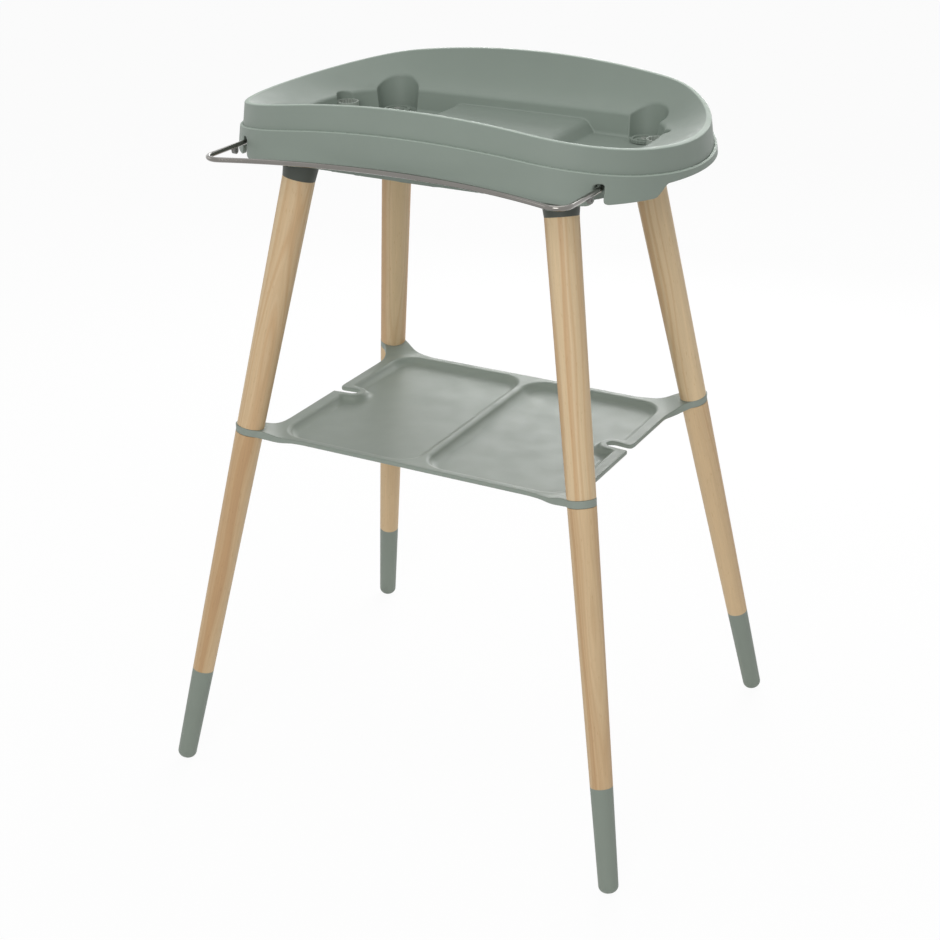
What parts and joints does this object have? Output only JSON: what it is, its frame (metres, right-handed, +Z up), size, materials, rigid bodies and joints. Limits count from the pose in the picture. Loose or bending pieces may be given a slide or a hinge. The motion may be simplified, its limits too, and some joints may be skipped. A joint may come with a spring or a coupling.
{
  "type": "baby bathtub stand",
  "caption": "Standing-height baby bath stand: an open moulded cradle with a front towel rail on splayed wooden legs, joined by a storage shelf.",
  "frame": {"origin": "on the floor, midway between the four feet", "axes": "+Z up, X along the cradle, the front with the towel rail faces -Y"},
  "size_m": [0.6554, 0.5414, 0.9064],
  "materials": {
    "shell": "smooth matte moulded",
    "shelf": "smooth matte moulded",
    "boot": "smooth matte moulded",
    "collar": "smooth matte moulded",
    "leg_nut": "matte, fluted rim",
    "drain_ring": "matte, fluted",
    "catch": "matte",
    "upper_wood": "clear matte lacquer",
    "lower_wood": "clear matte lacquer",
    "rail_steel": "brushed",
    "fastener_steel": "plated"
  },
  "bodies": {
    "stand": {"bowl": "shell", "skirt": "shell", "shelf_tray": "shelf", "skirt_screws": "fastener_steel", "drain_ring_left": "drain_ring", "drain_ring_right": "drain_ring", "leg_collar_front_left": "collar", "leg_stud_front_left": "fastener_steel", "upper_leg_front_left": "upper_wood", "joining_stud_front_left": "fastener_steel", "lower_leg_front_left": "lower_wood", "foot_boot_front_left": "boot", "leg_collar_front_right": "collar", "leg_stud_front_right": "fastener_steel", "upper_leg_front_right": "upper_wood", "joining_stud_front_right": "fastener_steel", "lower_leg_front_right": "lower_wood", "foot_boot_front_right": "boot", "leg_collar_back_right": "collar", "leg_stud_back_right": "fastener_steel", "upper_leg_back_right": "upper_wood", "joining_stud_back_right": "fastener_steel", "lower_leg_back_right": "lower_wood", "foot_boot_back_right": "boot", "leg_collar_back_left": "collar", "leg_stud_back_left": "fastener_steel", "upper_leg_back_left": "upper_wood", "joining_stud_back_left": "fastener_steel", "lower_leg_back_left": "lower_wood", "foot_boot_back_left": "boot"},
    "rail": {"towel_rail": "rail_steel", "rail_catch_left": "catch", "rail_catch_right": "catch"},
    "leg_nut_front_left": {"leg_nut_front_left": "leg_nut"},
    "leg_nut_front_right": {"leg_nut_front_right": "leg_nut"},
    "leg_nut_back_right": {"leg_nut_back_right": "leg_nut"},
    "leg_nut_back_left": {"leg_nut_back_left": "leg_nut"}
  },
  "joints": [
    {"name": "rail_slide", "type": "slide", "parent": "stand", "child": "rail", "axis": [0, -1, 0], "range_m": [0, 0.03]},
    {"name": "leg_nut_turn_front_left", "type": "hinge", "parent": "stand", "child": "leg_nut_front_left", "pos_m": [-0.17279, -0.11374, 0.825], "axis": [0, 0, 1], "continuous": true},
    {"name": "leg_nut_turn_front_right", "type": "hinge", "parent": "stand", "child": "leg_nut_front_right", "pos_m": [0.17279, -0.11374, 0.825], "axis": [0, 0, 1], "continuous": true},
    {"name": "leg_nut_turn_back_right", "type": "hinge", "parent": "stand", "child": "leg_nut_back_right", "pos_m": [0.17497, 0.11374, 0.825], "axis": [0, 0, 1], "continuous": true},
    {"name": "leg_nut_turn_back_left", "type": "hinge", "parent": "stand", "child": "leg_nut_back_left", "pos_m": [-0.17497, 0.11374, 0.825], "axis": [0, 0, 1], "continuous": true}
  ]
}
